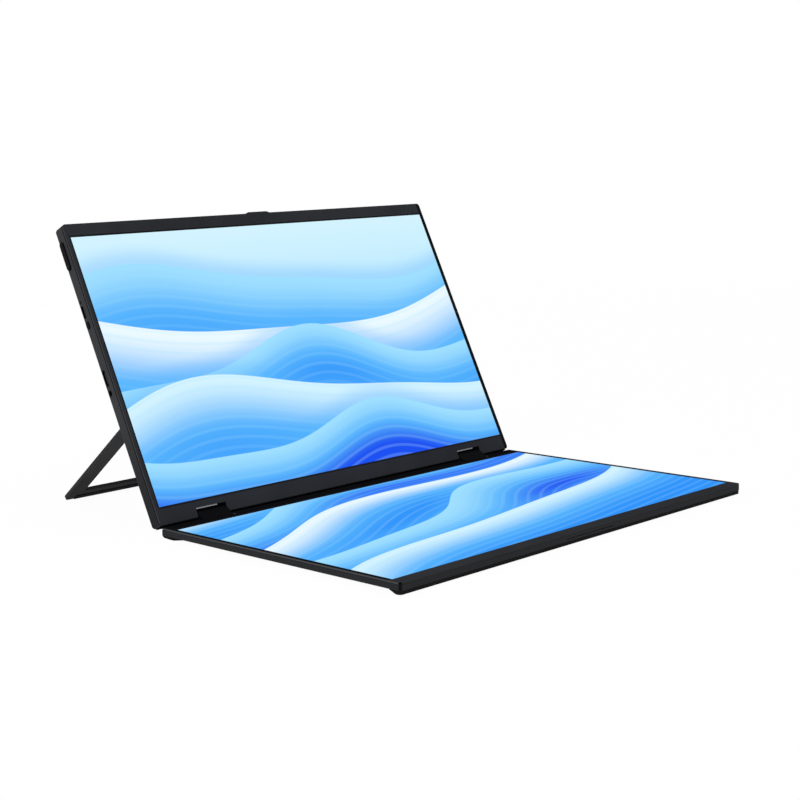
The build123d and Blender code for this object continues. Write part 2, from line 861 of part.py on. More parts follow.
def upper_cover():
    """Deep back shell of the upper screen, with the stand's recess, bosses, grilles and side holes."""
    shell = back_shell(upper_depth, upper_floor_top, -upper_axis_depth, upper_back_radius, corner_radius)
    root = upper_floor_top - upper_floor / 2
    for side in (-1, 1):
        for row in (post_near, far_edge - post_from_far):
            shell += peg(side * post_x, row, root, -stack, post_radius)
    for x, u in board_bosses:
        shell += peg(x, u, root, board_under, boss_radius)
        shell -= peg(x, u, upper_floor_top, board_under + over, shank_radius + press_gap)
    shell -= peg(rocker_screw_x(), rocker_u, upper_floor_top - floor_bite, upper_floor_top + over,
                 shank_radius + press_gap)
    shell = add_stand_recess(shell)
    step = speaker_length / grille_count
    for side in (-1, 1):
        for k in range(grille_count):
            x = side * speaker_x + (k - (grille_count - 1) / 2) * step
            shell -= block(x - grille_width / 2, x + grille_width / 2, speaker_u + wall,
                           speaker_u + speaker_width - wall, -upper_depth - over, upper_floor_top)
    inside = left + wall + hole_gap
    holes = [
        (usb_section(port_gap), usb_u, port_level),
        (hdmi_section(port_gap), hdmi_u, port_level),
        (Circle(jack_nose + port_gap), jack_u, port_level),
        (Circle(light_radius + port_gap / 2), light_u, port_level),
        (SlotOverall(button_length + 2 * button_gap, button_width + 2 * button_gap), button_u, key_level),
        (SlotOverall(rocker_length + 2 * rocker_gap, rocker_width + 2 * rocker_gap), rocker_u, key_level),
    ]
    for section, u, level in holes:
        shell -= prism(section, left - over, inside, u, level)
    return shell


def upper_bezel():
    """Bezel of the upper screen with the small closing lip on its top edge."""
    frame = front_bezel(upper_floor_top, corner_radius)
    low = bezel_under - tab_depth + tab_drop
    crown = far_edge + tab_proud
    root = far_edge + tab_gap
    plan = polygon([(-tab_half, root), (-tab_top_half, crown), (tab_top_half, crown), (tab_half, root)])
    frame += slab(plan, low, -tab_drop)
    return frame + block(-tab_half, tab_half, far_edge - bezel_skin, root + press_gap, bezel_under, -tab_drop)


def hinge_trim_plates():
    """Bright steel bars on the inner wall of the upper screen's notches, from their left ends."""
    half = notch_width / 2 - link_end_gap
    front = bezel_lip - trim_drop
    bars = []
    for side in (-1, 1):
        end = side * notch_centre - half
        bar = block(end, end + 2 * half * trim_share, notch_u - trim_skin, notch_u, front - trim_depth, front)
        near = bar.edges().filter_by(Axis.X).group_by(Axis.Y)[0]
        bars.append(chamfer(near, trim_edge))
    return Compound(bars)


def board_screws():
    """Screws that hold the main board to its bosses."""
    return Compound([screw(x, u, board_top, upper_floor_top + over / 2) for x, u in board_bosses])


lower_nodes = {
    "lower_back_cover": lower_cover(),
    "lower_front_bezel": front_bezel(lower_floor_top, lower_hinge_corner),
    "lower_screen_panel": screen_panel(),
    "lower_light_guide": light_guide(),
    "lower_backlight_tray": backlight_tray(),
    "lower_led_bar": led_bar(),
    "lower_driver_board": driver_board(lower_floor_top),
    "lower_ribbon_cables": ribbon_cables(lower_floor_top),
    "lower_hinge_brackets": hinge_brackets(-lower_axis_depth, lower_floor_top),
    "lower_hinge_pins": hinge_pins(-lower_axis_depth),
    "lower_bracket_screws": bracket_screws(lower_floor_top),
    "lower_case_screws": case_screws(lower_depth),
    "front_foot_strip": front_foot(),
    "rear_foot_strip": rear_foot(),
}

upper_nodes = {
    "upper_back_cover": upper_cover(),
    "upper_front_bezel": upper_bezel(),
    "upper_screen_panel": screen_panel(),
    "upper_light_guide": light_guide(),
    "upper_backlight_tray": backlight_tray(),
    "upper_led_bar": led_bar(),
    "upper_driver_board": driver_board(upper_floor_top),
    "upper_ribbon_cables": ribbon_cables(upper_floor_top),
    "upper_hinge_brackets": hinge_brackets(-upper_axis_depth, upper_floor_top),
    "upper_hinge_pins": hinge_pins(-upper_axis_depth),
    "upper_bracket_screws": bracket_screws(upper_floor_top),
    "upper_case_screws": case_screws(upper_depth),
    "hinge_trim_plates": hinge_trim_plates(),
    "main_board": main_board(),
    "main_board_chips": main_board_chips(),
    "board_screws": board_screws(),
    "link_cable": link_cable(),
    "usb_c_socket": socket(usb_section, usb_u, usb_length, usb_tongue),
    "mini_hdmi_socket": socket(hdmi_section, hdmi_u, hdmi_length, hdmi_tongue),
    "audio_jack": audio_jack(),
    "status_light": status_light(),
    "power_button": power_button(),
    "power_switch": power_switch(),
    "menu_rocker": menu_rocker(),
    "rocker_pin": rocker_pin(),
    "rocker_bracket": rocker_bracket(),
    "rocker_bracket_screw": screw(rocker_screw_x(), rocker_u, upper_floor_top + rocker_ear,
                                  upper_floor_top - floor_bite),
    "rocker_switches": rocker_switches(),
    "speakers": speakers(),
}

link_nodes = {
    "left_hinge_link": hinge_link(-1),
    "right_hinge_link": hinge_link(1),
}

stand_nodes = {
    "stand_frame": stand_frame(),
    "stand_foot": stand_foot(),
    "stand_pins": stand_pins(),
}

# The lower screen is drawn like the upper one and turned over its hinge line.
placed = {name: LOWER * mirror(shape, about=Plane.XZ) for name, shape in lower_nodes.items()}
placed |= {name: UPPER * shape for name, shape in upper_nodes.items()}
placed |= {name: LINK * shape for name, shape in link_nodes.items()}
placed |= {name: STAND * shape for name, shape in stand_nodes.items()}

os.makedirs("parts", exist_ok=True)
for name, shape in placed.items():
    export_step(shape, f"parts/{name}.step")

print("lower pins at", (LOWER * Location((0, -axis_u, -lower_axis_depth))).position)
print("upper pins at", (UPPER * Location((0, axis_u, -upper_axis_depth))).position)
print("stand pivot at", STAND.position, "stand length", round(stand_length, 3))
print("rocker pin at", (UPPER * Location((left + rocker_axis_in, rocker_u, key_level))).position)
print("power button at", (UPPER * Location((left, button_u, key_level))).position)
print("lower screen frame at", LOWER.position, "upper screen frame at", UPPER.position)
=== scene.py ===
import json
from collections import namedtuple
from math import cos, pi, radians, sin

import bpy
from mathutils import Matrix, Vector


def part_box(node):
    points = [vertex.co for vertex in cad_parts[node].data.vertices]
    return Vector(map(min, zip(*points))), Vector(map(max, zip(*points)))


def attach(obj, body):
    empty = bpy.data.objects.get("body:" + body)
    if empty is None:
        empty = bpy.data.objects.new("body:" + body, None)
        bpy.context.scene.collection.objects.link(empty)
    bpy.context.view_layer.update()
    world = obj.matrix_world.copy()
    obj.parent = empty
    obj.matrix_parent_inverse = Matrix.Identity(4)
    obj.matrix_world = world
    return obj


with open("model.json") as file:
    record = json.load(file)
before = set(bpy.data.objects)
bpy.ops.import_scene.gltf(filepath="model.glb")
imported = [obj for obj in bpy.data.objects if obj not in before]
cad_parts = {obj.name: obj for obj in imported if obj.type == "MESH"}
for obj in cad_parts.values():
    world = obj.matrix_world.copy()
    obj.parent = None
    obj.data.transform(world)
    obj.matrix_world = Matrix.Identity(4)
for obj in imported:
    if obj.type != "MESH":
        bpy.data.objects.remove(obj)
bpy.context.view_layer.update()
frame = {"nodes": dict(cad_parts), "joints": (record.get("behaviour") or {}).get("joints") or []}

nodes = frame["nodes"]

MM = 0.001

# Directions in the shared frame
SIDEWAYS = (1, 0, 0)
FORWARDS = (0, -1, 0)
BACKWARDS = (0, 1, 0)
UPWARDS = (0, 0, 1)
DOWNWARDS = (0, 0, -1)

# Glass cells of the screens and the lit films on them
CELL_BORDER = 1.2 * MM
CELL_THICKNESS = 1.2 * MM
FILM_LIFT = 0.01 * MM
FILM_THICKNESS = 0.03 * MM
FILM_EDGE = 0.3 * MM

# Half of a screen's width
HALF_WIDTH = 175.9 * MM

# Hinge side of the upper screen: walls from the lit area, levels from the glass, notches from the middle
HINGE_WALL = -12.4 * MM
WALL_TOP = -1.5 * MM
WALL_FOOT = -8.2 * MM
WALL_END = 1.9 * MM
NOTCH_MIDDLE = 130.65 * MM
NOTCH_HALF = 13.35 * MM
NOTCH_WALL = -5.7 * MM
NOTCH_PAD_TOP = -2.3 * MM
NOTCH_PAD_FOOT = -10.2 * MM

# Black foam strips on that side and pads in its notches, which also stand in for the shade there
STRIP_SKIN = 0.7 * MM
PAD_SKIN = 0.8 * MM
STRIP_BITE = 0.05 * MM
STRIP_GAP = 0.15 * MM
STRIP_ROUND = 0.12 * MM
STRIP_ROUND_STEPS = 2

# Contacts on the tongues of the sockets
TONGUE_SKIN = 0.7 * MM
TONGUE_START = 0.9 * MM
CONTACT_LENGTH = 3.6 * MM
CONTACT_SKIN = 0.04 * MM
CONTACT_ROUND = CONTACT_SKIN / 4
CONTACT_ROUND_STEPS = 1
CONTACT_SHARE = 0.5

# Name of each group of contacts, its socket, the contacts in a row and their pitch
CONTACT_GROUPS = (
    ("usb_c_contacts", "usb_c_socket", 12, 0.5 * MM),
    ("mini_hdmi_contacts", "mini_hdmi_socket", 10, 0.8 * MM),
)

# Seam between bezel and back cover, and the start of the painted seam shadow on the upper cover, as levels
# from the glass
SEAM_TOP = -0.7 * MM
SEAM_FOOT = -1.3 * MM
SEAM_SHADOW_START = -1.65 * MM

# Strip in the lower seam, with its ends counted from the lit area's front edge
SEAM_FILL_INSET = 0.08 * MM
SEAM_FILL_WIDTH = 1.0 * MM
SEAM_FILL_GAP = 0.03 * MM
FRONT_EDGE = -9.9 * MM
FRONT_CORNER = 2.5 * MM
FRONT_CORNER_STEPS = 8
HINGE_CUT = 203.0 * MM

# Start of the bezels' side bands of painted shade, from the middle
SIDE_SHADE_START = 172.2 * MM

# Lean of the open stand off the table, in degrees
STAND_LEAN = 35.0

# View of the photograph: angles in degrees, lens and sensor in millimetres, distances in metres
VIEW_AZIMUTH = -46.0736
VIEW_ELEVATION = 8.79
VIEW_ROLL = -1.1801
VIEW_LENS = 74.754
VIEW_SENSOR = 36.0
VIEW_PLACE = (-0.829924, -0.8166012, 0.2525352)
VIEW_NEAR = 0.01
VIEW_FAR = 100


# Frames of the two screens

def upper_frame():
    """Frame of the upper screen: x across, y up the glass from the lit area's lower edge, z out of it."""
    tilt = next(joint for joint in frame["joints"] if joint["name"] == "rocker_tilt")
    across = Vector(SIDEWAYS)
    out = Vector(tilt["axis"]).normalized()
    rise = out.cross(across)
    low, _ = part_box("upper_screen_panel")
    origin = Vector((0, low.y + CELL_BORDER * rise.y, low.z + CELL_BORDER * rise.z + CELL_THICKNESS * out.z))
    return Matrix.Translation(origin) @ Matrix((across, rise, out)).transposed().to_4x4()


def lower_frame():
    """Frame of the lower screen: x across, y towards the hinge from the lit area's front edge, z up."""
    low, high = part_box("lower_screen_panel")
    return Matrix.Translation((0, low.y + CELL_BORDER, high.z))


def lit_size():
    """Width and height of the lit area of a screen."""
    low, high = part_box("lower_screen_panel")
    return high.x - low.x - 2 * CELL_BORDER, high.y - low.y - 2 * CELL_BORDER


UPPER = upper_frame()
LOWER = lower_frame()

# Directions out of the upper screen's glass, out of its back, and out of the stand's inner face
UPPER_FRONT = tuple(UPPER.to_3x3().col[2])
UPPER_BACK = tuple(-UPPER.to_3x3().col[2])
STAND_INSIDE = (0, -sin(radians(STAND_LEAN)), -cos(radians(STAND_LEAN)))


# Shader helpers

# Colour sockets of a Mix node: both inputs and the output
MIX_FIRST = 6
MIX_SECOND = 7
MIX_RESULT = 2


def new_material(name):
    """Empty node material with a Principled shader, its node tree and the shader."""
    material = bpy.data.materials.new(name)
    material.use_nodes = True
    tree = material.node_tree
    return material, tree, tree.nodes["Principled BSDF"]


def set_input(tree, node, key, value):
    """Links a socket or sets a plain value on one input of a node."""
    if isinstance(value, bpy.types.NodeSocket):
        tree.links.new(value, node.inputs[key])
    else:
        node.inputs[key].default_value = value


def calc(tree, operation, first, second=0.0, third=0.0):
    """Math node."""
    node = tree.nodes.new("ShaderNodeMath")
    node.operation = operation
    for key, value in enumerate((first, second, third)):
        set_input(tree, node, key, value)
    return node.outputs[0]


def spread(tree, value, low, high, to_low=0.0, to_high=1.0):
    """Map Range node with soft ends."""
    node = tree.nodes.new("ShaderNodeMapRange")
    node.interpolation_type = "SMOOTHSTEP"
    for key, item in enumerate((value, low, high, to_low, to_high)):
        set_input(tree, node, key, item)
    return node.outputs[0]


def blend_colours(tree, factor, first, second):
    """Mix node of two colours."""
    node = tree.nodes.new("ShaderNodeMix")
    node.data_type = "RGBA"
    for key, value in ((0, factor), (MIX_FIRST, first), (MIX_SECOND, second)):
        set_input(tree, node, key, value)
    return node.outputs[MIX_RESULT]


def noise(tree, scale, detail=3.0, rough=0.5, stretch=(1, 1, 1)):
    """Noise over the piece's own place, in features per metre."""
    place = tree.nodes.new("ShaderNodeTexCoord")
    mapping = tree.nodes.new("ShaderNodeMapping")
    mapping.inputs["Scale"].default_value = stretch
    texture = tree.nodes.new("ShaderNodeTexNoise")
    texture.inputs["Scale"].default_value = scale
    texture.inputs["Detail"].default_value = detail
    texture.inputs["Roughness"].default_value = rough
    tree.links.new(place.outputs["Object"], mapping.inputs["Vector"])
    tree.links.new(mapping.outputs[0], texture.inputs["Vector"])
    return texture.outputs["Fac"]


def grain_bump(tree, shader, height, strength, distance):
    """Fine relief on a surface."""
    bump = tree.nodes.new("ShaderNodeBump")
    bump.inputs["Strength"].default_value = strength
    bump.inputs["Distance"].default_value = distance
    tree.links.new(height, bump.inputs["Height"])
    tree.links.new(bump.outputs[0], shader.inputs["Normal"])


def colour(red, green, blue):
    """Linear colour with full alpha."""
    return (red, green, blue, 1.0)


def share_along(tree, coordinates, direction):
    """Dot product of a kind of texture coordinates and a direction."""
    place = tree.nodes.new("ShaderNodeTexCoord")
    product = tree.nodes.new("ShaderNodeVectorMath")
    product.operation = "DOT_PRODUCT"
    tree.links.new(place.outputs[coordinates], product.inputs[0])
    product.inputs[1].default_value = direction
    return product.outputs["Value"]


def facing(tree, direction):
    """How far a face of the piece is turned to a direction, from -1 to 1."""
    return share_along(tree, "Normal", direction)


def along(tree, direction, start=0.0):
    """Distance of a spot along a direction."""
    return calc(tree, "SUBTRACT", share_along(tree, "Object", direction), start)


# Make-up of a finish: broad clouds of tone, and a fine grain in tone and relief
CLOUD_SCALE = 18.0
CLOUD_DETAIL = 2.0
GRAIN_DETAIL = 4.0
GRAIN_ROUGH = 0.6
GRAIN_SHARE = 0.5
GRAIN_DEPTH = 0.02 * MM
NOISE_SPAN = (0.3, 0.7)

# Patches of rubbed coat
RUB_SCALE = 35.0
RUB_SPAN = (0.25, 0.85)

# Turn of a face to a direction over which a tone comes in: rubbed wear, painted light and painted shade
ROUND_START_TURN = (0.2, 0.6)
ROUND_END_TURN = (0.98, 0.85)
CORNER_TURN = (0.2, 0.5)
COVER_SIDE_TURN = (0.5, 0.9)
STAND_INSIDE_TURN = (0.5, 0.9)
UPPER_RIM_TURN = (0.55, 0.3)
LOWER_RIM_TURN = (0.9, 0.6)
LOWER_SIDE_TURN = (0.72, 0.95)
LOWER_TOP_TURN = (0.9, 0.97)
TRIM_SHADE_TURN = (0.35, 0.15)

# Places over which painted light and shade come in, and the blur of painted lines and bands
COVER_SHADE_HEIGHT = (85 * MM, 15 * MM)
STAND_SHADE_HEIGHT = (62 * MM, 6 * MM)
REAR_FOOT_LIGHT_FADE = (22.5 * MM, 26.5 * MM)
SEAM_BLUR = 0.05 * MM
BAND_BLUR = 0.2 * MM

# Black of the painted seam shadow and of the painted shade on rounded corners
SHADOW_BLACK = colour(0.002, 0.002, 0.0024)

# Clear plastic: share of light let through, and how far it bends
CLEAR_SHARE = 0.7
CLEAR_BEND = 1.49


def moulded(name, dark, light, rough, grain, relief, shine=0.5, metal=0.0, stretch=(1, 1, 1)):
    """Finish with a broad change of tone, a fine grain in its relief and an uneven sheen."""
    material, tree, shader = new_material(name)
    broad = noise(tree, CLOUD_SCALE, CLOUD_DETAIL)
    fine = noise(tree, grain, GRAIN_DETAIL, GRAIN_ROUGH, stretch)
    tone = calc(tree, "MULTIPLY_ADD", fine, GRAIN_SHARE, calc(tree, "MULTIPLY", broad, 1 - GRAIN_SHARE))
    tint = blend_colours(tree, spread(tree, tone, *NOISE_SPAN), dark, light)
    tree.links.new(tint, shader.inputs["Base Color"])
    tree.links.new(spread(tree, tone, *NOISE_SPAN, *rough), shader.inputs["Roughness"])
    shader.inputs["Metallic"].default_value = metal
    shader.inputs["Specular IOR Level"].default_value = shine
    grain_bump(tree, shader, fine, relief, GRAIN_DEPTH)
    return material


def turned(tree, direction, span):
    """Mask of the faces that are turned to a direction."""
    return spread(tree, facing(tree, direction), *span)


def turned_sideways(tree, span):
    """Mask of the faces that are turned to the left or to the right."""
    return spread(tree, calc(tree, "ABSOLUTE", facing(tree, SIDEWAYS)), *span)


def past(tree, direction, start):
    """Mask of the spots past a start along a direction."""
    return spread(tree, along(tree, direction, start), -BAND_BLUR, BAND_BLUR)


def both(tree, first, second):
    """Mask of what two masks share."""
    return calc(tree, "MULTIPLY", first, second)


def repaint(material, mask, paint):
    """Blends another colour into a finish where a mask lets it."""
    tree = material.node_tree
    socket = tree.nodes["Principled BSDF"].inputs["Base Color"]
    under = socket.links[0].from_socket
    tree.links.new(blend_colours(tree, mask, under, paint), socket)


def rub_edges(material, back, paint):
    """Patches of paler coat where the rounded back edges get rubbed."""
    tree = material.node_tree
    round_over = both(tree, turned(tree, back, ROUND_START_TURN), turned(tree, back, ROUND_END_TURN))
    patches = spread(tree, noise(tree, RUB_SCALE), *RUB_SPAN)
    repaint(material, both(tree, round_over, patches), paint)


def paint_corner_shade(material):
    """Painted shade: black on the rounded front corners of the lower screen, which turn away from the lamps.
    """
    tree = material.node_tree
    corners = both(tree, turned_sideways(tree, CORNER_TURN), turned(tree, FORWARDS, CORNER_TURN))
    repaint(material, corners, SHADOW_BLACK)


# Finishes

def upper_cover_coat():
    """Matte dark grey coat of the upper back cover, with rubbed wear on its back edges, painted shade at the
    foot of its sides and a painted black seam shadow.
    """
    material = moulded("upper_cover_coat", colour(0.026, 0.027, 0.030), colour(0.038, 0.039, 0.043),
                       rough=(0.66, 0.8), grain=2600, relief=0.25, shine=0.12)
    rub_edges(material, UPPER_BACK, colour(0.062, 0.064, 0.068))
    tree = material.node_tree
    # Painted shade: the cover's sides turn darker towards their foot
    painted_low_shade = spread(tree, along(tree, UPWARDS), *COVER_SHADE_HEIGHT)
    painted_side_foot_shade = both(tree, turned_sideways(tree, COVER_SIDE_TURN), painted_low_shade)
    repaint(material, painted_side_foot_shade, colour(0.011, 0.0115, 0.0135))
    # Painted shadow: a black line on the cover's side along the seam
    level = along(tree, UPPER_FRONT, UPPER.translation.dot(Vector(UPPER_FRONT)))
    repaint(material, spread(tree, level, SEAM_SHADOW_START - SEAM_BLUR, SEAM_SHADOW_START + SEAM_BLUR), SHADOW_BLACK)
    return material


def lower_cover_coat():
    """Matte near-black coat of the lower back cover, with rubbed wear on its lower edges and painted shade on
    its rounded front corners.
    """
    material = moulded("lower_cover_coat", colour(0.015, 0.0155, 0.017), colour(0.023, 0.0235, 0.026),
                       rough=(0.68, 0.82), grain=2600, relief=0.25, shine=0.1)
    rub_edges(material, DOWNWARDS, colour(0.04, 0.041, 0.044))
    paint_corner_shade(material)
    return material


def stand_coat():
    """Matte dark coat of the stand, with painted shade that turns its inner face black towards the foot."""
    material = moulded("stand_coat", colour(0.016, 0.017, 0.019), colour(0.026, 0.027, 0.030),
                       rough=(0.6, 0.74), grain=2600, relief=0.25, shine=0.08)
    tree = material.node_tree
    painted_low_shade = spread(tree, along(tree, UPWARDS), *STAND_SHADE_HEIGHT)
    # Painted shade: the inner face goes black towards the floor
    painted_inner_shade = both(tree, turned(tree, STAND_INSIDE, STAND_INSIDE_TURN), painted_low_shade)
    repaint(material, painted_inner_shade, colour(0.0015, 0.0015, 0.002))
    return material


def upper_bezel_plastic():
    """Dead matte black plastic of the upper bezel, with painted light on its rim and painted shade along its
    right side.
    """
    material = moulded("upper_bezel_plastic", colour(0.026, 0.027, 0.0305), colour(0.037, 0.0385, 0.0437),
                       rough=(0.7, 0.85), grain=3200, relief=0.3, shine=0.0)
    tree = material.node_tree
    # Painted highlight: faces turned away from the front, the rim, are paler
    repaint(material, turned(tree, UPPER_FRONT, UPPER_RIM_TURN), colour(0.06, 0.061, 0.065))
    # Painted shade: blacker on the right side band
    side_shade_band = spread(tree, along(tree, SIDEWAYS), SIDE_SHADE_START - BAND_BLUR, SIDE_SHADE_START)
    repaint(material, side_shade_band, colour(0.008, 0.0082, 0.0095))
    return material


def lower_bezel_plastic():
    """Dead matte black plastic of the lower bezel, with painted highlights on its rim and sides, and painted
    shade next to and behind the glass and on its front corners.
    """
    material = moulded("lower_bezel_plastic", colour(0.024, 0.025, 0.028), colour(0.034, 0.035, 0.039),
                       rough=(0.72, 0.86), grain=3200, relief=0.3, shine=0.0)
    tree = material.node_tree
    # Painted highlight: the rim, and most of all the sides, are paler
    repaint(material, turned(tree, UPWARDS, LOWER_RIM_TURN), colour(0.034, 0.035, 0.038))
    repaint(material, turned_sideways(tree, LOWER_SIDE_TURN), colour(0.075, 0.076, 0.08))
    top = turned(tree, UPWARDS, LOWER_TOP_TURN)
    lit_front = LOWER.translation.y
    lit_length = lit_size()[1]
    # Painted shade: the top face is black in the side bands next to the glass
    off_middle = calc(tree, "ABSOLUTE", along(tree, SIDEWAYS))
    side_shade_band = spread(tree, off_middle, SIDE_SHADE_START - BAND_BLUR, SIDE_SHADE_START)
    beside_glass_shade = both(tree, side_shade_band, past(tree, BACKWARDS, lit_front))
    repaint(material, both(tree, beside_glass_shade, top), colour(0.003, 0.003, 0.0036))
    # Painted shade: the top face behind the glass is blacker, as under the upper screen
    painted_hinge_shade = past(tree, BACKWARDS, lit_front + lit_length)
    repaint(material, both(tree, painted_hinge_shade, top), colour(0.0055, 0.0055, 0.0065))
    paint_corner_shade(material)
    return material


def hinge_paint():
    """Black paint on the hinge links and on the brackets."""
    return moulded("hinge_paint", colour(0.0018, 0.0018, 0.0022), colour(0.0036, 0.0036, 0.0044),
                   rough=(0.6, 0.75), grain=1800, relief=0.2, shine=0.02)


def trim_painted_light():
    """Pale satin bars of the hinge notches, whose bright front is partly a painted highlight, with painted
    shade making their other faces black.
    """
    material = moulded("trim_painted_light", colour(0.29, 0.285, 0.28), colour(0.37, 0.365, 0.36),
                       rough=(0.55, 0.7), grain=2400, relief=0.15, shine=0.0, stretch=(0.05, 1, 1))
    # Painted shade: faces not turned to the front are black
    painted_under_shade = turned(material.node_tree, UPPER_FRONT, TRIM_SHADE_TURN)
    repaint(material, painted_under_shade, colour(0.003, 0.003, 0.0034))
    return material


def key_plastic():
    """Satin black plastic of the keys."""
    return moulded("key_plastic", colour(0.0022, 0.0022, 0.0028), colour(0.0042, 0.0042, 0.005),
                   rough=(0.52, 0.66), grain=2800, relief=0.2, shine=0.06)


def shade_foam():
    """Black foam of the strips and pads along the hinge, which also stands in for the shade there."""
    return moulded("shade_foam", colour(0.002, 0.002, 0.0022), colour(0.0042, 0.0042, 0.0046),
                   rough=(0.85, 0.95), grain=1600, relief=0.5, shine=0.0)


def foot_rubber():
    """Dull rubber of the front foot strip and of the stand's foot."""
    return moulded("foot_rubber", colour(0.007, 0.007, 0.007), colour(0.012, 0.012, 0.012),
                   rough=(0.75, 0.9), grain=1400, relief=0.6, shine=0.05)


def rear_foot_rubber():
    """Black rubber of the foot strips at the hinge, with painted light making it greyer towards the hinge
    edge.
    """
    material = moulded("rear_foot_rubber", colour(0.0022, 0.0022, 0.0024), colour(0.0042, 0.0042, 0.0046),
                       rough=(0.75, 0.9), grain=1400, relief=0.6, shine=0.02)
    tree = material.node_tree
    # Painted light: greyer towards the hinge edge
    lit_hinge_end = spread(tree, along(tree, BACKWARDS), *REAR_FOOT_LIGHT_FADE)
    repaint(material, lit_hinge_end, colour(0.015, 0.0155, 0.017))
    return material


def bright_steel():
    """Steel with a brushed grain along the hinge line."""
    return moulded("bright_steel", colour(0.30, 0.31, 0.32), colour(0.42, 0.43, 0.44),
                   rough=(0.28, 0.42), grain=2400, relief=0.25, metal=1.0, stretch=(0.03, 1, 1))


def gilt_metal():
    """Thin gilding of the socket contacts."""
    return moulded("gilt_metal", colour(0.55, 0.36, 0.10), colour(0.70, 0.48, 0.16),
                   rough=(0.28, 0.4), grain=3000, relief=0.1, metal=1.0)


def screw_steel():
    """Blackened steel of the screws."""
    return moulded("screw_steel", colour(0.05, 0.05, 0.052), colour(0.09, 0.09, 0.093),
                   rough=(0.28, 0.4), grain=3000, relief=0.2, metal=1.0)


def socket_shade_steel():
    """Steel of the sockets, darkened as painted shade in their mouths."""
    return moulded("socket_shade_steel", colour(0.022, 0.022, 0.024), colour(0.036, 0.036, 0.038),
                   rough=(0.3, 0.42), grain=2600, relief=0.2, metal=1.0)


def black_mould():
    """Plain black moulded plastic of the small electrical pieces."""
    return moulded("black_mould", colour(0.004, 0.004, 0.005), colour(0.008, 0.008, 0.009),
                   rough=(0.5, 0.65), grain=2200, relief=0.3, shine=0.15)


def board_lacquer():
    """Green lacquer of the circuit boards."""
    return moulded("board_lacquer", colour(0.008, 0.075, 0.03), colour(0.014, 0.11, 0.045),
                   rough=(0.3, 0.45), grain=900, relief=0.2)


def amber_film():
    """Amber film of the flat cables."""
    return moulded("amber_film", colour(0.30, 0.14, 0.03), colour(0.42, 0.20, 0.045),
                   rough=(0.3, 0.42), grain=700, relief=0.15)


def lamp_white():
    """White plastic of the LED bars."""
    return moulded("lamp_white", colour(0.72, 0.72, 0.66), colour(0.84, 0.84, 0.78),
                   rough=(0.4, 0.5), grain=1200, relief=0.15)


def clear_plastic():
    """Clear moulded plastic of the light guides."""
    material = moulded("clear_plastic", colour(0.78, 0.82, 0.85), colour(0.88, 0.91, 0.93),
                       rough=(0.1, 0.2), grain=500, relief=0.1)
    shader = material.node_tree.nodes["Principled BSDF"]
    shader.inputs["Transmission Weight"].default_value = CLEAR_SHARE
    shader.inputs["IOR"].default_value = CLEAR_BEND
    return material


def smoked_plastic():
    """Smoked plastic of the status light, which is off, made near-black as painted shade of its recess."""
    return moulded("smoked_plastic", colour(0.001, 0.001, 0.0012), colour(0.002, 0.002, 0.0024),
                   rough=(0.4, 0.5), grain=900, relief=0.1, shine=0.05)


def border_glass():
    """Black printed border of the glass cell, with an anti-glare face."""
    return moulded("border_glass", colour(0.003, 0.003, 0.004), colour(0.005, 0.005, 0.006),
                   rough=(0.5, 0.6), grain=4000, relief=0.1, shine=0.08)


# Pictures on the lit screens: layered hills under a pale sky

PALE = colour(0.66, 0.90, 0.99)
MILK = colour(0.84, 0.96, 1.0)
LIGHT = colour(0.34, 0.73, 0.99)
SKY = colour(0.09, 0.46, 0.98)
MID = colour(0.022, 0.29, 0.955)
DEEP = colour(0.006, 0.075, 0.88)
UNLIT_FILM = colour(0.01, 0.01, 0.012)

# Sky, from its lower to its upper colour, in heights of the screen
SKY_SPAN = (0.35, 1.1)

# Small ripple on a crest, as shares of the crest's own wave
RIPPLE_TURNS = 1.9
RIPPLE_PHASE = 1.6
RIPPLE_SWELL = 0.3

# Soft shade behind a crest, and the crest's own edge, in heights of the screen
SHADE_REACH = 0.09
SHADE_STRENGTH = 0.38
CREST_BLUR = 0.0015

# Where the crest's colour ends and the foot's colour starts, as shares of a hill's fade
CREST_END = 0.6
FOOT_START = 0.4

# Pale lines down a slope: how many in a screen's height, where a line starts in its wave, and its strength
LINE_COUNT = 26
LINE_START = 0.2
LINE_STRENGTH = 0.16

# Anti-glare grain of the lit film
FILM_GRAIN = 4000.0
FILM_DETAIL = 2.0
FILM_ROUGH = (0.55, 0.65)
FILM_RELIEF = 0.1
FILM_DEPTH = 0.005 * MM

# Slant of the lower picture, in degrees
LOWER_SLANT = -24.0

# A hill's height and swell, its waves across the screen and their phase, its colours, and how far they fade
Hill = namedtuple("Hill", "level swell turns phase crest foot fade")


def add_hill(tree, across, up, behind, hill):
    """One hill in front of the picture so far: a wavy crest, its colours down the slope and a soft shade."""
    wave = 2 * pi * hill.turns
    swing = calc(tree, "SINE", calc(tree, "MULTIPLY_ADD", across, wave, hill.phase))
    ripple_place = calc(tree, "MULTIPLY_ADD", across, wave * RIPPLE_TURNS, hill.phase * RIPPLE_PHASE)
    ripple = calc(tree, "SINE", ripple_place)
    ridge = calc(tree, "MULTIPLY_ADD", ripple, hill.swell * RIPPLE_SWELL, hill.level)
    ridge = calc(tree, "MULTIPLY_ADD", swing, hill.swell, ridge)
    depth = calc(tree, "SUBTRACT", ridge, up)
    shade = spread(tree, depth, -SHADE_REACH, 0.0, 0.0, SHADE_STRENGTH)
    behind = blend_colours(tree, shade, behind, SKY)
    slope = blend_colours(tree, spread(tree, depth, 0.0, CREST_END * hill.fade), hill.crest, SKY)
    slope = blend_colours(tree, spread(tree, depth, FOOT_START * hill.fade, hill.fade), slope, hill.foot)
    lines = calc(tree, "SINE", calc(tree, "MULTIPLY", depth, 2 * pi * LINE_COUNT))
    slope = blend_colours(tree, spread(tree, lines, LINE_START, 1.0, 0.0, LINE_STRENGTH), slope, LIGHT)
    return blend_colours(tree, spread(tree, depth, -CREST_BLUR, CREST_BLUR), behind, slope)


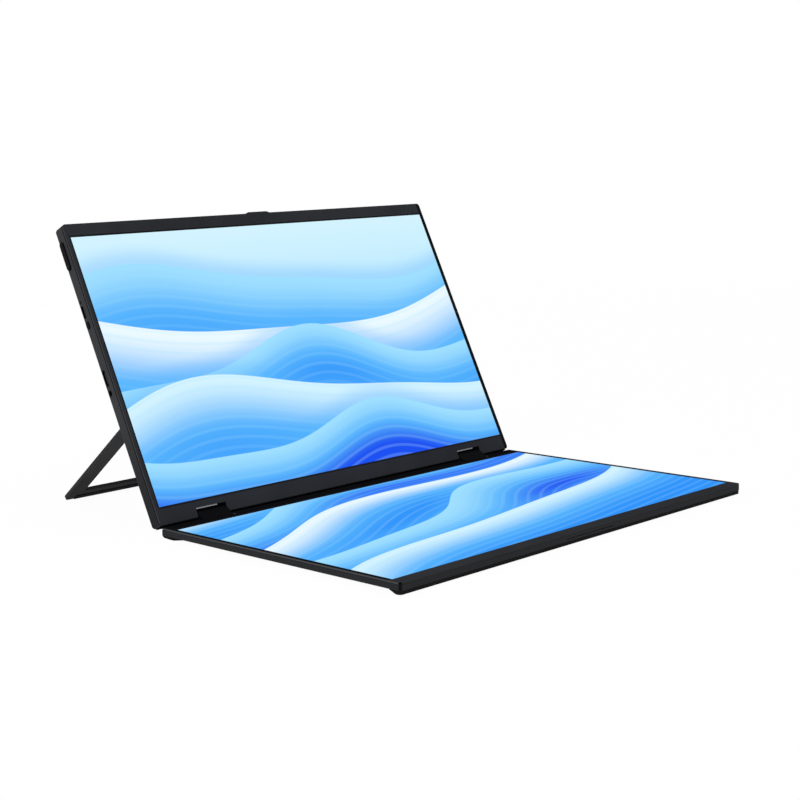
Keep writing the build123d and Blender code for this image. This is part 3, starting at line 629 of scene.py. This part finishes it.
def picture(name, slant, sky_low, sky_high, hills):
    """Lit picture over a screen's own map: a sky and hills, turned on the screen by an angle."""
    material, tree, shader = new_material(name)
    place = tree.nodes.new("ShaderNodeTexCoord")
    mapping = tree.nodes.new("ShaderNodeMapping")
    mapping.inputs["Rotation"].default_value = (0, 0, radians(slant))
    axes = tree.nodes.new("ShaderNodeSeparateXYZ")
    tree.links.new(place.outputs["UV"], mapping.inputs["Vector"])
    tree.links.new(mapping.outputs[0], axes.inputs[0])
    across, up = axes.outputs["X"], axes.outputs["Y"]
    image = blend_colours(tree, spread(tree, up, *SKY_SPAN), sky_low, sky_high)
    for hill in hills:
        image = add_hill(tree, across, up, image, hill)
    grain = noise(tree, FILM_GRAIN, FILM_DETAIL)
    tree.links.new(spread(tree, grain, *NOISE_SPAN, *FILM_ROUGH), shader.inputs["Roughness"])
    grain_bump(tree, shader, grain, FILM_RELIEF, FILM_DEPTH)
    shader.inputs["Base Color"].default_value = UNLIT_FILM
    shader.inputs["Specular IOR Level"].default_value = 0.0
    tree.links.new(image, shader.inputs["Emission Color"])
    shader.inputs["Emission Strength"].default_value = 1.0
    return material


def upper_picture():
    """Rolling hills on the upper screen."""
    hills = [
        Hill(0.80, 0.07, 0.9, 0.6, LIGHT, MID, 0.34),
        Hill(0.64, 0.09, 0.7, 2.4, MILK, SKY, 0.42),
        Hill(0.48, 0.08, 1.1, 4.4, LIGHT, MID, 0.22),
        Hill(0.33, 0.09, 0.8, 0.2, PALE, MID, 0.36),
        Hill(0.17, 0.06, 1.2, 3.0, LIGHT, DEEP, 0.20),
    ]
    return picture("upper_picture", 0.0, LIGHT, PALE, hills)


def lower_picture():
    """Slanting hills on the lower screen."""
    hills = [
        Hill(0.98, 0.06, 0.8, 1.2, PALE, MID, 0.26),
        Hill(0.76, 0.07, 0.9, 3.6, LIGHT, DEEP, 0.23),
        Hill(0.54, 0.08, 0.7, 5.2, MILK, MID, 0.28),
        Hill(0.32, 0.07, 1.0, 2.2, LIGHT, DEEP, 0.32),
        Hill(0.10, 0.06, 0.8, 0.4, PALE, MID, 0.32),
    ]
    return picture("lower_picture", LOWER_SLANT, PALE, LIGHT, hills)


# Steps that several pieces share

def apply_transform():
    """Puts the place, turn and size of the selected piece into its mesh."""
    bpy.ops.object.transform_apply(location=True, rotation=True, scale=True)


def deselect_all():
    """Leaves nothing selected."""
    bpy.ops.object.select_all(action="DESELECT")


def set_up(name, size, place):
    """Names the primitive just added and brings it to its size and place."""
    piece = bpy.context.object
    piece.name = name
    piece.scale = size
    piece.location = place
    apply_transform()
    return piece


def add_sheet(name, width, length, place):
    """Flat sheet to start a piece from."""
    deselect_all()
    bpy.ops.mesh.primitive_plane_add(size=1, location=(0, 0, 0))
    return set_up(name, (width, length, 1), place)


def add_bar(name, size, place):
    """Plain bar to start a piece from."""
    deselect_all()
    bpy.ops.mesh.primitive_cube_add(size=1, location=(0, 0, 0))
    return set_up(name, size, place)


def round_edges(reach, steps):
    """Rounds all edges of the piece in hand."""
    bpy.ops.object.mode_set(mode="EDIT")
    bpy.ops.mesh.select_all(action="SELECT")
    bpy.ops.mesh.bevel(offset=reach, segments=steps, affect="EDGES")
    bpy.ops.object.mode_set(mode="OBJECT")


def raise_selected(height):
    """Extrudes what is selected in edit mode straight up."""
    bpy.ops.mesh.extrude_region_move(TRANSFORM_OT_translate={"value": (0, 0, height)})


def turn_faces_out():
    """Points all faces outwards and leaves edit mode."""
    bpy.ops.mesh.select_all(action="SELECT")
    bpy.ops.mesh.normals_make_consistent(inside=False)
    bpy.ops.object.mode_set(mode="OBJECT")


def copy_piece(piece):
    """Copy of a piece with its own mesh."""
    copy = piece.copy()
    copy.data = piece.data.copy()
    bpy.context.scene.collection.objects.link(copy)
    return copy


def apply_place(piece, place):
    """Moves a piece drawn in a screen's frame to its place, with the place in its mesh."""
    piece.matrix_world = place
    deselect_all()
    piece.select_set(True)
    bpy.context.view_layer.objects.active = piece
    apply_transform()


# New pieces

def lit_area(name, place, body, finish):
    """Thin lit film over the glass cell, with a narrow border along its edge."""
    width, height = lit_size()
    film = add_sheet(name, width, height, (0, height / 2, FILM_LIFT))
    bpy.ops.object.mode_set(mode="EDIT")
    bpy.ops.mesh.select_all(action="SELECT")
    raise_selected(FILM_THICKNESS)
    bpy.ops.mesh.inset(thickness=FILM_EDGE, depth=0.0)
    turn_faces_out()
    apply_place(film, place)
    film.data.materials.append(finish)
    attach(film, body)


def wall_shade_strip(name, left, right, wall, skin, foot, top, finish):
    """Flat strip on a wall of the upper screen that looks down to the hinge, with its edges rounded over."""
    size = (right - left, skin + STRIP_BITE, top - foot)
    place = ((left + right) / 2, wall + (STRIP_BITE - skin) / 2, (foot + top) / 2)
    strip = add_bar(name, size, place)
    round_edges(STRIP_ROUND, STRIP_ROUND_STEPS)
    apply_place(strip, UPPER)
    strip.data.materials.append(finish)
    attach(strip, "upper_panel")


def hinge_shade_strips():
    """Black foam strips along the hinge side of the upper screen, and a pad in each of its notches, which
    also stand in for the shade there.
    """
    foam = shade_foam()
    end = HALF_WIDTH - WALL_END
    outer = NOTCH_MIDDLE + NOTCH_HALF + STRIP_GAP
    inner = NOTCH_MIDDLE - NOTCH_HALF - STRIP_GAP
    for name, left, right in (("left", -end, -outer), ("middle", -inner, inner), ("right", outer, end)):
        wall_shade_strip(f"{name}_edge_shade_strip", left, right, HINGE_WALL, STRIP_SKIN, WALL_FOOT, WALL_TOP, foam)
    half = NOTCH_HALF - STRIP_GAP
    for name, side in (("left", -1), ("right", 1)):
        left = side * NOTCH_MIDDLE - half
        right = left + 2 * half
        wall_shade_strip(f"{name}_notch_shade_pad", left, right, NOTCH_WALL, PAD_SKIN, NOTCH_PAD_FOOT, NOTCH_PAD_TOP,
                   foam)


def socket_contacts(name, socket, count, pitch, finish):
    """Gilt contacts on both faces of a socket's tongue: one is modelled, and the others are copies."""
    low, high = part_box(socket)
    middle = UPPER.inverted() @ ((low + high) / 2)
    inwards = low.x + TONGUE_START + CONTACT_LENGTH / 2
    first = add_bar(name, (CONTACT_LENGTH, pitch * CONTACT_SHARE, CONTACT_SKIN), (0, 0, 0))
    round_edges(CONTACT_ROUND, CONTACT_ROUND_STEPS)
    contacts = [first] + [copy_piece(first) for _ in range(2 * count - 1)]
    deselect_all()
    for order, contact in enumerate(contacts):
        face, place = divmod(order, count)
        side = 1 - 2 * face
        across = middle.y + (place - (count - 1) / 2) * pitch
        level = middle.z + side * (TONGUE_SKIN + CONTACT_SKIN) / 2
        contact.location = (inwards, across, level)
        contact.select_set(True)
    bpy.context.view_layer.objects.active = first
    bpy.ops.object.join()
    row = bpy.context.object
    apply_transform()
    apply_place(row, UPPER)
    row.data.materials.append(finish)
    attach(row, "upper_panel")


def lower_seam_filler():
    """Thin plastic strip in the seam of the lower screen, along its sides and its front."""
    width = 2 * (HALF_WIDTH - SEAM_FILL_INSET)
    length = HINGE_CUT - FRONT_EDGE
    place = (0, FRONT_EDGE + SEAM_FILL_INSET + length / 2, SEAM_FOOT + SEAM_FILL_GAP)
    filler = add_sheet("lower_seam_filler", width, length, place)
    for corner in filler.data.vertices:
        corner.select = corner.co.y < 0
    bpy.ops.object.mode_set(mode="EDIT")
    bpy.ops.mesh.select_mode(type="VERT")
    bpy.ops.mesh.bevel(offset=FRONT_CORNER, segments=FRONT_CORNER_STEPS, affect="VERTICES")
    bpy.ops.mesh.select_all(action="SELECT")
    bpy.ops.mesh.inset(thickness=SEAM_FILL_WIDTH, depth=0.0)
    bpy.ops.mesh.delete(type="FACE")
    bpy.ops.mesh.select_all(action="SELECT")
    raise_selected(SEAM_TOP - SEAM_FOOT - 2 * SEAM_FILL_GAP)
    bpy.ops.mesh.select_all(action="SELECT")
    cut = HINGE_CUT - 2 * SEAM_FILL_WIDTH
    bpy.ops.mesh.bisect(plane_co=(0, cut, 0), plane_no=BACKWARDS, use_fill=True, clear_outer=True)
    turn_faces_out()
    apply_place(filler, LOWER)
    filler.data.materials.append(nodes["lower_back_cover"].data.materials[0])
    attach(filler, "lower_panel")


# Finishes of the CAD nodes

def dress(names, finish):
    """Gives every named CAD node one finish."""
    for name in names:
        slots = nodes[name].data.materials
        slots.clear()
        slots.append(finish)


def dress_nodes():
    """Every CAD node takes the finish of what it is made of."""
    dress(["upper_back_cover"], upper_cover_coat())
    dress(["lower_back_cover"], lower_cover_coat())
    dress(["upper_front_bezel"], upper_bezel_plastic())
    dress(["lower_front_bezel"], lower_bezel_plastic())
    dress(["lower_screen_panel", "upper_screen_panel"], border_glass())
    dress(["stand_frame"], stand_coat())
    dress(["left_hinge_link", "right_hinge_link", "lower_hinge_brackets", "upper_hinge_brackets",
           "rocker_bracket"], hinge_paint())
    dress(["hinge_trim_plates"], trim_painted_light())
    dress(["menu_rocker", "power_button"], key_plastic())
    dress(["front_foot_strip", "stand_foot"], foot_rubber())
    dress(["rear_foot_strip"], rear_foot_rubber())
    dress(["lower_hinge_pins", "upper_hinge_pins", "lower_backlight_tray", "upper_backlight_tray",
           "rocker_pin", "stand_pins"], bright_steel())
    dress(["lower_bracket_screws", "upper_bracket_screws", "lower_case_screws", "upper_case_screws",
           "board_screws", "rocker_bracket_screw"], screw_steel())
    dress(["usb_c_socket", "mini_hdmi_socket"], socket_shade_steel())
    dress(["main_board_chips", "audio_jack", "power_switch", "rocker_switches", "speakers"], black_mould())
    dress(["lower_driver_board", "upper_driver_board", "main_board"], board_lacquer())
    dress(["lower_ribbon_cables", "upper_ribbon_cables", "link_cable"], amber_film())
    dress(["lower_led_bar", "upper_led_bar"], lamp_white())
    dress(["lower_light_guide", "upper_light_guide"], clear_plastic())
    dress(["status_light"], smoked_plastic())


# Studio

WHITE = colour(1, 1, 1)

# Floor: its size and finish, and the share of white that the camera sees, near the object and far off
FLOOR_SIZE = 60.0
FLOOR_TONE = colour(0.9, 0.9, 0.9)
FLOOR_ROUGH = 0.9
FLOOR_GLOW = (0.965, 1.0)
FLOOR_GLOW_REACH = (0.5, 3.0)

# Strength of the surroundings as a light source
AMBIENT = 0.55

# Name, place, width, height and watts of each lamp, and the spot that all of them aim at
SOFT_BOXES = (
    ("key_light", (-1.5, 0.1, 1.3), 1.2, 1.0, 16),
    ("fill_light", (0.8, -1.4, 1.1), 1.2, 1.0, 6),
    ("rim_light", (0.3, 1.4, 1.1), 1.4, 0.8, 7),
)
LAMP_AIM = (0, 0, 0.05)


def seen_directly(tree):
    """1 for camera, glossy and transmitted rays, so that the object mirrors what the camera sees."""
    path = tree.nodes.new("ShaderNodeLightPath")
    either = calc(tree, "MAXIMUM", path.outputs["Is Camera Ray"], path.outputs["Is Glossy Ray"])
    return calc(tree, "MAXIMUM", either, path.outputs["Is Transmission Ray"])


def studio_floor():
    """Pale floor that the camera sees as white, with the object's faint shadow."""
    floor = add_sheet("floor", FLOOR_SIZE, FLOOR_SIZE, (0, 0, 0))
    material, tree, shader = new_material("floor_white")
    shader.inputs["Base Color"].default_value = FLOOR_TONE
    shader.inputs["Roughness"].default_value = FLOOR_ROUGH
    shader.inputs["Specular IOR Level"].default_value = 0.0
    glow = tree.nodes.new("ShaderNodeEmission")
    glow.inputs["Color"].default_value = WHITE
    glow.inputs["Strength"].default_value = 1.0
    mix = tree.nodes.new("ShaderNodeMixShader")
    place = tree.nodes.new("ShaderNodeTexCoord")
    reach = tree.nodes.new("ShaderNodeVectorMath")
    reach.operation = "LENGTH"
    tree.links.new(place.outputs["Object"], reach.inputs[0])
    glow_share = spread(tree, reach.outputs["Value"], *FLOOR_GLOW_REACH, *FLOOR_GLOW)
    tree.links.new(calc(tree, "MULTIPLY", seen_directly(tree), glow_share), mix.inputs[0])
    tree.links.new(shader.outputs[0], mix.inputs[1])
    tree.links.new(glow.outputs[0], mix.inputs[2])
    tree.links.new(mix.outputs[0], tree.nodes["Material Output"].inputs["Surface"])
    floor.data.materials.append(material)


def studio_world():
    """White surroundings, dimmer as a light source than they look."""
    world = bpy.data.worlds.new("studio")
    bpy.context.scene.world = world
    world.use_nodes = True
    tree = world.node_tree
    background = tree.nodes["Background"]
    background.inputs["Color"].default_value = WHITE
    strength = spread(tree, seen_directly(tree), 0.0, 1.0, AMBIENT, 1.0)
    tree.links.new(strength, background.inputs["Strength"])


def soft_box(name, place, width, height, watts):
    """Large soft lamp aimed at the object."""
    lamp = bpy.data.lights.new(name, "AREA")
    lamp.shape = "RECTANGLE"
    lamp.size = width
    lamp.size_y = height
    lamp.energy = watts
    box = bpy.data.objects.new(name, lamp)
    bpy.context.scene.collection.objects.link(box)
    box.location = place
    box.rotation_euler = (Vector(LAMP_AIM) - Vector(place)).to_track_quat("-Z", "Y").to_euler()


def photo_camera():
    """Camera at the photograph's place, turned by its azimuth, elevation and roll."""
    azimuth, elevation, roll = radians(VIEW_AZIMUTH), radians(VIEW_ELEVATION), radians(VIEW_ROLL)
    back = Vector((sin(azimuth) * cos(elevation), -cos(azimuth) * cos(elevation), sin(elevation)))
    level = Vector(UPWARDS).cross(back).normalized()
    upright = back.cross(level)
    right = cos(roll) * level + sin(roll) * upright
    up = cos(roll) * upright - sin(roll) * level
    lens = bpy.data.cameras.new("photo_camera")
    lens.lens = VIEW_LENS
    lens.sensor_width = VIEW_SENSOR
    lens.clip_start = VIEW_NEAR
    lens.clip_end = VIEW_FAR
    camera = bpy.data.objects.new("photo_camera", lens)
    bpy.context.scene.collection.objects.link(camera)
    camera.matrix_world = Matrix.Translation(VIEW_PLACE) @ Matrix((right, up, back)).transposed().to_4x4()
    bpy.context.scene.camera = camera


dress_nodes()
lit_area("upper_lit_area", UPPER, "upper_panel", upper_picture())
lit_area("lower_lit_area", LOWER, "lower_panel", lower_picture())
hinge_shade_strips()
lower_seam_filler()
gilt = gilt_metal()
for group in CONTACT_GROUPS:
    socket_contacts(*group, gilt)

studio_floor()
studio_world()
for lamp_values in SOFT_BOXES:
    soft_box(*lamp_values)
photo_camera()

bpy.context.scene.view_settings.view_transform = "Standard"
